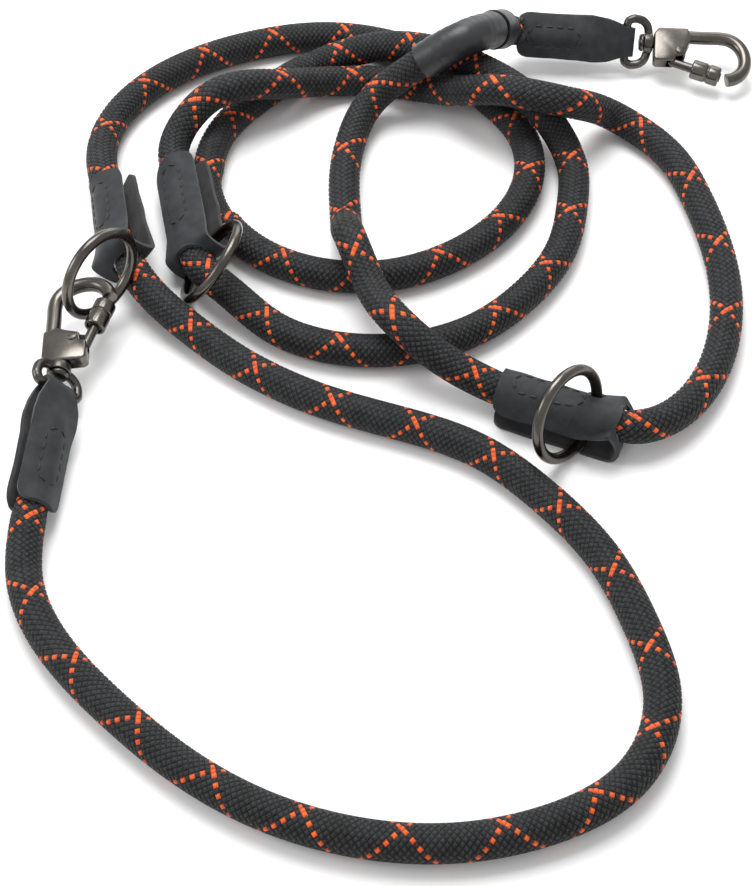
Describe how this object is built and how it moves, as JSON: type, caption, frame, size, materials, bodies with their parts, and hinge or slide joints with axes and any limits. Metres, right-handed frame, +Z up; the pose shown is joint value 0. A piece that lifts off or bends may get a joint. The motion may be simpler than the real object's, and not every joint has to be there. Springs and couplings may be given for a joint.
{
  "type": "training leash",
  "caption": "Round braided rope training leash lying coiled on a table, with leather-wrapped rings and a locking swivel snap hook at each end, one hook clipped to a ring.",
  "frame": {"origin": "middle of the bounding box at the table", "axes": "+Z up from the table, +Y from the handle loop towards the coil, +X towards the free hook"},
  "size_m": [0.2743, 0.3721, 0.0437],
  "materials": {
    "braided_cover": "tight black polyester braid with two orange tracer strands",
    "core_fibre": "twisted white core, not seen",
    "leather": "matt charcoal nubuck, raw cut edges",
    "thread": "waxed black thread",
    "sleeve": "black shrink tube",
    "gunmetal": "dark nickel plating over zinc alloy, satin",
    "spring_wire": "bare spring wire"
  },
  "bodies": {
    "rope": {"end_thread_1": "thread", "end_thread_2": "thread", "end_wrap_1": "leather", "end_wrap_2": "leather", "ring_wrap_1": "leather", "ring_wrap_2": "leather", "ring_wrap_3": "leather", "rope_core": "core_fibre", "rope_cover": "braided_cover", "shrink_sleeve": "sleeve", "sleeve_cuff": "sleeve", "wrap_thread_1": "thread", "wrap_thread_2": "thread", "wrap_thread_3": "thread"},
    "bail_1": {"bail_1": "gunmetal"},
    "hook_1": {"hook_body_1": "gunmetal", "swivel_stem_1": "gunmetal", "gate_rivet_1": "gunmetal", "gate_spring_1": "spring_wire"},
    "gate_1": {"gate_1": "gunmetal", "lock_spring_1": "spring_wire"},
    "lock_1": {"lock_sleeve_1": "gunmetal"},
    "bail_2": {"bail_2": "gunmetal"},
    "hook_2": {"hook_body_2": "gunmetal", "swivel_stem_2": "gunmetal", "gate_rivet_2": "gunmetal", "gate_spring_2": "spring_wire"},
    "gate_2": {"gate_2": "gunmetal", "lock_spring_2": "spring_wire"},
    "lock_2": {"lock_sleeve_2": "gunmetal"},
    "ring_1": {"o_ring_1": "gunmetal"},
    "ring_2": {"o_ring_2": "gunmetal"},
    "ring_3": {"o_ring_3": "gunmetal"}
  },
  "joints": [
    {"name": "bail_1_swing", "type": "hinge", "parent": "rope", "child": "bail_1", "pos_m": [-0.12455, -0.01475, 0.0135], "axis": [-0.6606, -0.0078, 0.7507], "range_deg": [-8, 0]},
    {"name": "hook_1_swivel", "type": "hinge", "parent": "bail_1", "child": "hook_1", "pos_m": [-0.1246, -0.00515, 0.01355], "axis": [-0.0056, 1, 0.0054], "range_deg": [-25, 2]},
    {"name": "gate_1_open", "type": "hinge", "parent": "hook_1", "child": "gate_1", "pos_m": [-0.12032, 0.00687, 0.01429], "axis": [-0.1517, -0.0062, 0.9884], "range_deg": [0, 3], "stiffness_Nm_per_rad": 0.04, "springref_deg": -17.19},
    {"name": "lock_1_slide", "type": "slide", "parent": "gate_1", "child": "lock_1", "axis": [0.2856, 0.9571, 0.0499], "range_m": [-0.004, 0], "stiffness_N_per_m": 80, "springref_m": 0.004},
    {"name": "bail_2_swing", "type": "hinge", "parent": "rope", "child": "bail_2", "pos_m": [0.08695, 0.16925, 0.013], "axis": [0.0662, 0.5581, 0.8271], "range_deg": [-30, 30]},
    {"name": "hook_2_swivel", "type": "hinge", "parent": "bail_2", "child": "hook_2", "pos_m": [0.09652, 0.1686, 0.01267], "axis": [0.9971, -0.068, -0.034], "continuous": true},
    {"name": "gate_2_open", "type": "hinge", "parent": "hook_2", "child": "gate_2", "pos_m": [0.10816, 0.16353, 0.01117], "axis": [0.0159, -0.2507, 0.9679], "range_deg": [0, 25], "stiffness_Nm_per_rad": 0.04, "springref_deg": -17.19},
    {"name": "lock_2_slide", "type": "slide", "parent": "gate_2", "child": "lock_2", "axis": [0.931, -0.3493, -0.1058], "range_m": [-0.004, 0], "stiffness_N_per_m": 80, "springref_m": 0.004},
    {"name": "ring_1_turn", "type": "hinge", "parent": "rope", "child": "ring_1", "pos_m": [-0.11195, 0.02845, 0.0257], "axis": [0.7739, -0.6329, 0.023], "continuous": true},
    {"name": "ring_2_turn", "type": "hinge", "parent": "rope", "child": "ring_2", "pos_m": [-0.07415, 0.04375, 0.0157], "axis": [-0.7842, 0.195, 0.5891], "continuous": true},
    {"name": "ring_3_turn", "type": "hinge", "parent": "rope", "child": "ring_3", "pos_m": [0.05075, -0.02895, 0.0176], "axis": [0.7288, -0.6378, 0.2489], "continuous": true}
  ]
}
